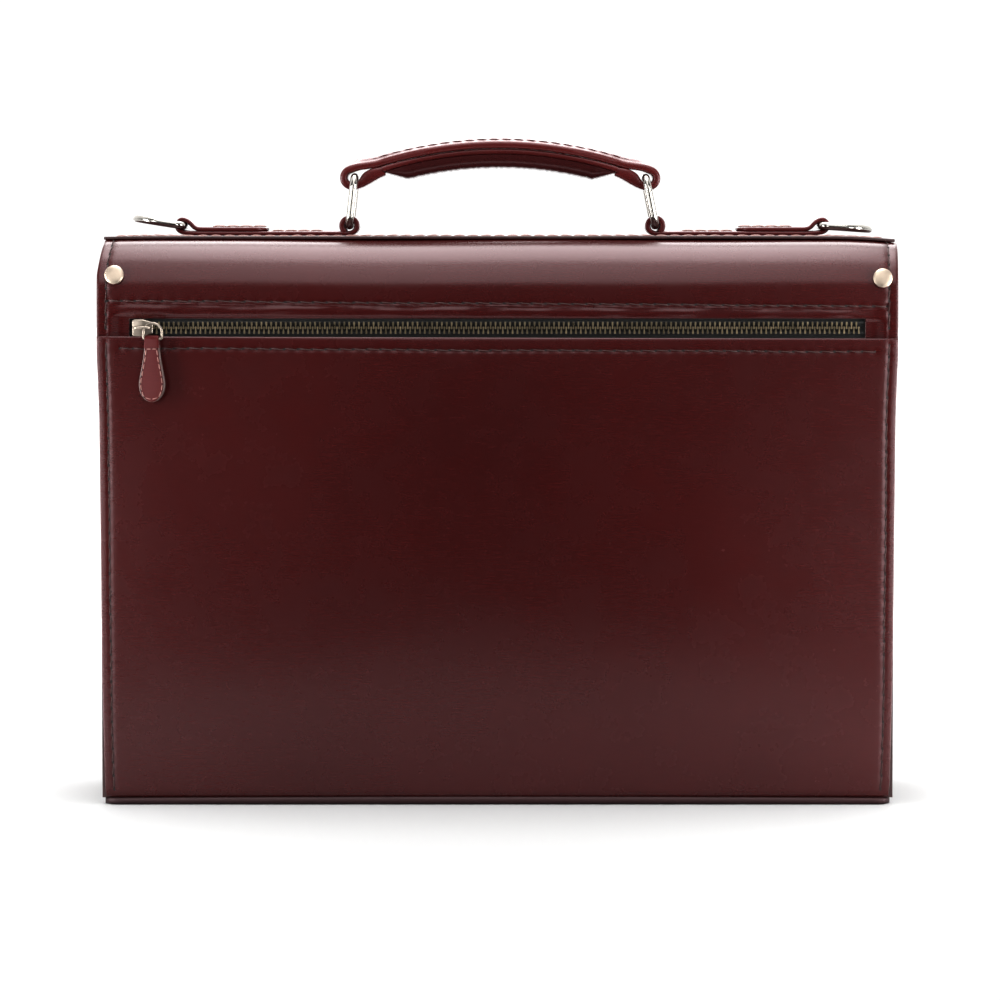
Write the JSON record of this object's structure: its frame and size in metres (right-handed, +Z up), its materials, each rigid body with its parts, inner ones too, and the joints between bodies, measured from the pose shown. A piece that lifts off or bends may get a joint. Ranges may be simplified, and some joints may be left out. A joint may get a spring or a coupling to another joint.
{
  "type": "satchel bag",
  "caption": "Flap-over leather satchel briefcase with a stitched top handle on rings, D-rings, a zip pocket on the back and a press lock under the flap.",
  "frame": {"origin": "middle of the base, on the surface the bag stands on", "axes": "+X across the bag towards the zip's open end, +Y out of the flap side, +Z up"},
  "size_m": [0.41, 0.1147, 0.342],
  "materials": {
    "bridle_leather": "smooth semi-gloss burgundy bridle leather with dark burnished edges",
    "suede_lining": "tan suede",
    "polished_nickel": "polished nickel plate",
    "lock_steel": "plain zinc-plated steel",
    "antique_brass": "dark antique brass",
    "antique_nickel": "warm antique nickel",
    "zip_tape": "black woven tape",
    "stiffener_board": "brown fibreboard",
    "handle_cord": "twisted cotton cord"
  },
  "bodies": {
    "case": {"back_panel": "bridle_leather", "back_lining": "suede_lining", "pocket_panel": "bridle_leather", "pocket_welts": "bridle_leather", "cover_back": "bridle_leather", "zip_tape_upper": "zip_tape", "zip_tape_lower": "zip_tape", "zip_teeth_upper": "antique_brass", "zip_teeth_lower": "antique_brass", "zip_stops": "antique_brass", "gusset_left": "bridle_leather", "gusset_right": "bridle_leather", "bottom_panel": "bridle_leather", "base_board": "stiffener_board", "front_panel": "bridle_leather", "front_lining": "suede_lining", "divider": "bridle_leather", "divider_pocket": "bridle_leather", "front_pocket_panel": "bridle_leather", "front_pocket_welts": "bridle_leather", "corner_rivets": "polished_nickel", "lock_base": "polished_nickel", "lock_backplate": "lock_steel", "lock_rivets": "polished_nickel", "lock_latch": "lock_steel", "lock_leaf_spring": "lock_steel"},
    "lid": {"cover_top": "bridle_leather", "top_strip": "bridle_leather", "strap_left": "bridle_leather", "strap_right": "bridle_leather", "top_stiffener": "stiffener_board"},
    "flap": {"cover_front": "bridle_leather", "flap_lining": "suede_lining", "lock_frame": "polished_nickel", "lock_frame_backplate": "lock_steel", "lock_frame_rivets": "polished_nickel"},
    "handle": {"handle_strap": "bridle_leather", "handle_liner": "bridle_leather", "handle_grip": "bridle_leather", "handle_core": "handle_cord"},
    "handle_ring_left": {"handle_ring_left": "polished_nickel"},
    "handle_ring_right": {"handle_ring_right": "polished_nickel"},
    "d_ring_left": {"d_ring_left": "polished_nickel"},
    "d_ring_right": {"d_ring_right": "polished_nickel"},
    "zip_slider": {"zip_slider": "antique_nickel"},
    "zip_pull_ring": {"zip_pull_ring": "antique_nickel"},
    "zip_fob": {"zip_fob": "bridle_leather"},
    "lock_button": {"lock_button": "polished_nickel"},
    "key_cylinder": {"key_cylinder": "polished_nickel"}
  },
  "joints": [
    {"name": "lid_hinge", "type": "hinge", "parent": "case", "child": "lid", "pos_m": [0, -0.04552, 0.2815], "axis": [1, 0, 0], "range_deg": [0, 115]},
    {"name": "flap_hinge", "type": "hinge", "parent": "lid", "child": "flap", "pos_m": [0, 0.05162, 0.2815], "axis": [1, 0, 0], "range_deg": [0, 100]},
    {"name": "handle_ring_left_swing", "type": "hinge", "parent": "lid", "child": "handle_ring_left", "pos_m": [-0.0773, 0.002, 0.2979], "axis": [0, 1, 0], "range_deg": [-30, 30]},
    {"name": "handle_pivot", "type": "hinge", "parent": "handle_ring_left", "child": "handle", "pos_m": [-0.07446, 0.002, 0.32324], "axis": [0, 1, 0], "range_deg": [-32, 32]},
    {"name": "handle_ring_right_swing", "type": "hinge", "parent": "lid", "child": "handle_ring_right", "pos_m": [0.0823, 0.002, 0.2979], "axis": [0, 1, 0], "range_deg": [-31, 31]},
    {"name": "d_ring_left_swing", "type": "hinge", "parent": "lid", "child": "d_ring_left", "pos_m": [-0.164, 0.002, 0.2979], "axis": [0, 1, 0], "range_deg": [-14, 160]},
    {"name": "d_ring_right_swing", "type": "hinge", "parent": "lid", "child": "d_ring_right", "pos_m": [0.169, 0.002, 0.2979], "axis": [0, -1, 0], "range_deg": [-1.5, 172]},
    {"name": "zip_slide", "type": "slide", "parent": "case", "child": "zip_slider", "axis": [1, 0, 0], "range_m": [0, 0.362], "deforming": ["zip_teeth_upper", "zip_teeth_lower"]},
    {"name": "zip_pull_swing", "type": "hinge", "parent": "zip_slider", "child": "zip_pull_ring", "pos_m": [-0.18024, -0.0524, 0.2459], "axis": [0, -1, 0], "range_deg": [-10, 60]},
    {"name": "zip_fob_lift", "type": "hinge", "parent": "zip_pull_ring", "child": "zip_fob", "pos_m": [-0.1762, -0.0524, 0.2402], "axis": [-1, 0, 0], "range_deg": [0, 80]},
    {"name": "lock_press", "type": "slide", "parent": "case", "child": "lock_button", "axis": [0, -1, 0], "range_m": [0, 0.0018], "stiffness_N_per_m": 400, "springref_m": -0.002},
    {"name": "key_turn", "type": "hinge", "parent": "case", "child": "key_cylinder", "pos_m": [0.00475, 0.055, 0.115], "axis": [0, 1, 0], "range_deg": [0, 90]}
  ],
  "couplings": [
    {"joint": "handle_pivot", "follows": "handle_ring_left_swing", "ratio": -1.05},
    {"joint": "handle_ring_right_swing", "follows": "handle_ring_left_swing", "ratio": 1.015}
  ]
}
